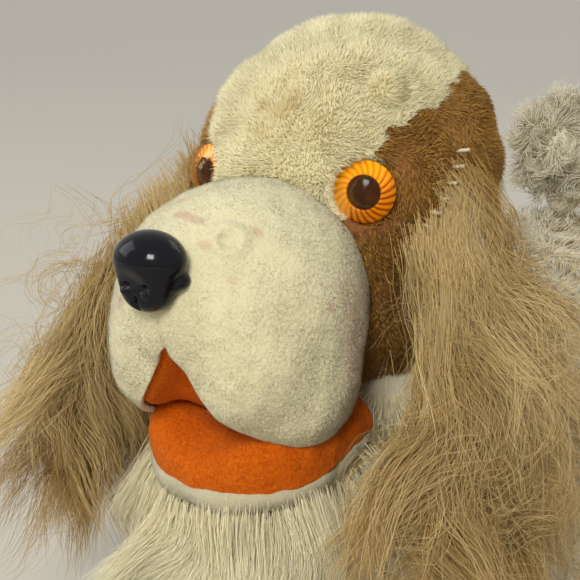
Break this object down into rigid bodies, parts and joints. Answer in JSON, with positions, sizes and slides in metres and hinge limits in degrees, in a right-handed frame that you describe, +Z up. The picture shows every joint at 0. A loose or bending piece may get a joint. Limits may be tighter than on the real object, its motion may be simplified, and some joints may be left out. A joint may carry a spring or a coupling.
{
  "type": "hand puppet",
  "caption": "Plush spaniel hand puppet with a moving felt-lined mouth, amber eyes, long mohair ears, limp legs and a hollow body sleeve.",
  "frame": {"origin": "on the ground, at the middle of the flat belly panel", "axes": "+Z up, -Y out of the face, +X to the puppet's own left"},
  "size_m": [0.1652, 0.302, 0.211],
  "materials": {
    "cream_plush": "short cream mohair pile",
    "crown_plush": "cream mohair pile",
    "brown_plush": "short brown directional mohair",
    "ear_plush": "long wavy tan mohair",
    "white_mohair": "long white mohair",
    "felt_orange": "orange felt",
    "stuffing": "loose wadding",
    "cloth": "cotton lining cloth",
    "thread": "cotton thread",
    "board": "stiff card",
    "nose_black": "gloss moulded plastic",
    "eye_amber": "amber plastic",
    "eye_dark": "dark brown plastic",
    "eye_clear": "clear amber lens",
    "washer": "plain moulded plastic"
  },
  "bodies": {
    "body": {"body_side_left": "white_mohair", "body_side_right": "white_mohair", "body_lining": "cloth", "hem_band": "cloth", "belly_panel": "white_mohair", "chest_ruff": "white_mohair"},
    "neck_outer": {"neck_ruff": "white_mohair"},
    "neck_inner": {"neck_tube": "cloth"},
    "head": {"cheek_panel_left": "brown_plush", "cheek_panel_right": "brown_plush", "crown_panel": "crown_plush", "ear_stitches_left": "thread", "ear_stitches_right": "thread", "eye_iris_left": "eye_amber", "eye_iris_right": "eye_amber", "eye_lens_left": "eye_clear", "eye_lens_right": "eye_clear", "eye_pupil_left": "eye_dark", "eye_pupil_right": "eye_dark", "eye_washers": "washer", "finger_pocket": "cloth", "head_back_panel": "brown_plush", "head_stuffing": "stuffing", "muzzle_cover": "cream_plush", "muzzle_stuffing": "stuffing", "nose": "nose_black", "nose_washer": "washer", "throat_panel": "white_mohair", "upper_mouth_board": "board", "upper_palate": "felt_orange"},
    "jaw": {"jaw_cover": "cream_plush", "lower_lip": "cream_plush", "lower_palate": "felt_orange", "lower_mouth_board": "board", "thumb_pocket": "cloth", "chin_beard": "white_mohair"},
    "ear_left": {"ear_fur_left": "ear_plush", "ear_lining_left": "cream_plush"},
    "ear_right": {"ear_fur_right": "ear_plush", "ear_lining_right": "cream_plush"},
    "foreleg_left": {"foreleg_cover_left": "white_mohair", "foreleg_stuffing_left": "stuffing"},
    "foreleg_right": {"foreleg_cover_right": "white_mohair", "foreleg_stuffing_right": "stuffing"},
    "hind_leg_left": {"hind_leg_cover_left": "white_mohair", "hind_leg_stuffing_left": "stuffing"},
    "hind_leg_right": {"hind_leg_cover_right": "white_mohair", "hind_leg_stuffing_right": "stuffing"},
    "tail": {"tail_cover": "white_mohair", "tail_stuffing": "stuffing"}
  },
  "joints": [
    {"name": "head_turn", "type": "hinge", "parent": "body", "child": "neck_outer", "pos_m": [0, 0.008, 0.098], "axis": [0, 0, 1], "range_deg": [-20, 20], "stiffness_Nm_per_rad": 0.6},
    {"name": "head_nod", "type": "hinge", "parent": "neck_outer", "child": "neck_inner", "pos_m": [0, 0.008, 0.098], "axis": [1, 0, 0], "range_deg": [-18, 14]},
    {"name": "head_tilt", "type": "hinge", "parent": "neck_inner", "child": "head", "pos_m": [0, 0.008, 0.098], "axis": [0, 1, 0], "range_deg": [-12, 12], "stiffness_Nm_per_rad": 1.2},
    {"name": "mouth", "type": "hinge", "parent": "head", "child": "jaw", "pos_m": [0, -0.079, 0.1], "axis": [1, 0, 0], "range_deg": [-6, 25]},
    {"name": "ear_left_lift", "type": "hinge", "parent": "head", "child": "ear_left", "pos_m": [0.05, -0.074, 0.178], "axis": [0, -1, 0], "range_deg": [0, 70]},
    {"name": "ear_right_lift", "type": "hinge", "parent": "head", "child": "ear_right", "pos_m": [-0.05, -0.074, 0.178], "axis": [0, 1, 0], "range_deg": [0, 70]},
    {"name": "foreleg_left_swing", "type": "hinge", "parent": "body", "child": "foreleg_left", "pos_m": [0.068, -0.014, 0.044], "axis": [1, 0, 0], "range_deg": [-70, 25]},
    {"name": "hind_leg_left_swing", "type": "hinge", "parent": "body", "child": "hind_leg_left", "pos_m": [0.068, 0.118, 0.044], "axis": [1, 0, 0], "range_deg": [-25, 70]},
    {"name": "foreleg_right_swing", "type": "hinge", "parent": "body", "child": "foreleg_right", "pos_m": [-0.068, -0.014, 0.044], "axis": [1, 0, 0], "range_deg": [-70, 25]},
    {"name": "hind_leg_right_swing", "type": "hinge", "parent": "body", "child": "hind_leg_right", "pos_m": [-0.068, 0.118, 0.044], "axis": [1, 0, 0], "range_deg": [-25, 70]},
    {"name": "tail_wag", "type": "hinge", "parent": "body", "child": "tail", "pos_m": [0, 0.126, 0.129], "axis": [0, 1, 0], "range_deg": [-35, 35]}
  ]
}
